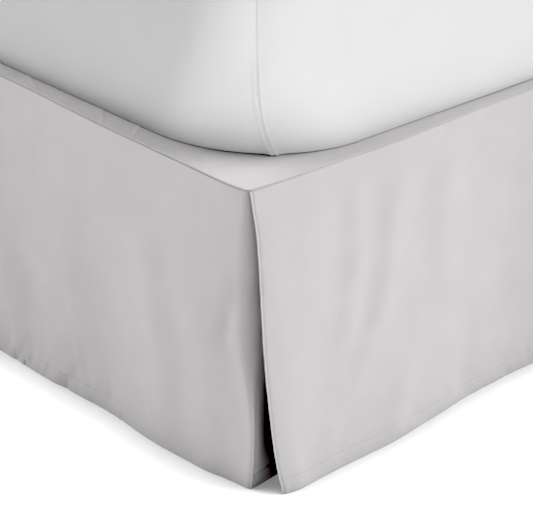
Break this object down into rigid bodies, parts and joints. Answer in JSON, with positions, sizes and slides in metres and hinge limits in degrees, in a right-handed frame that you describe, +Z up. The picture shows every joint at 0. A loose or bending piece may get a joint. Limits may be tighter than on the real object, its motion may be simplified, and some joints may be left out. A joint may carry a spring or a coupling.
{
  "type": "bed skirt on a bed",
  "caption": "Tailored bed skirt with plain hanging drops and split foot corners, on the bed base and mattress that hold its deck.",
  "frame": {"origin": "on the floor, under the middle of the bounding box", "axes": "+Z up, +Y from the foot of the bed to its head, +X across the bed"},
  "size_m": [1.5474, 2.072, 0.6713],
  "materials": {
    "skirt_deck": "light grey brushed microfibre",
    "drop_foot": "light grey brushed microfibre",
    "drop_left": "light grey brushed microfibre",
    "drop_right": "light grey brushed microfibre",
    "mattress": "plain white fitted cover",
    "bed_base": "pale woven cover over a timber box",
    "leg": "black lacquer",
    "glide": "moulded"
  },
  "bodies": {
    "root": {"skirt_deck": "skirt_deck", "drop_foot": "drop_foot", "drop_left": "drop_left", "drop_right": "drop_right", "mattress": "mattress", "bed_base": "bed_base", "leg_1": "leg", "leg_2": "leg", "leg_3": "leg", "leg_4": "leg", "leg_5": "leg", "leg_6": "leg", "glide_1": "glide", "glide_2": "glide", "glide_3": "glide", "glide_4": "glide", "glide_5": "glide", "glide_6": "glide"}
  },
  "joints": []
}
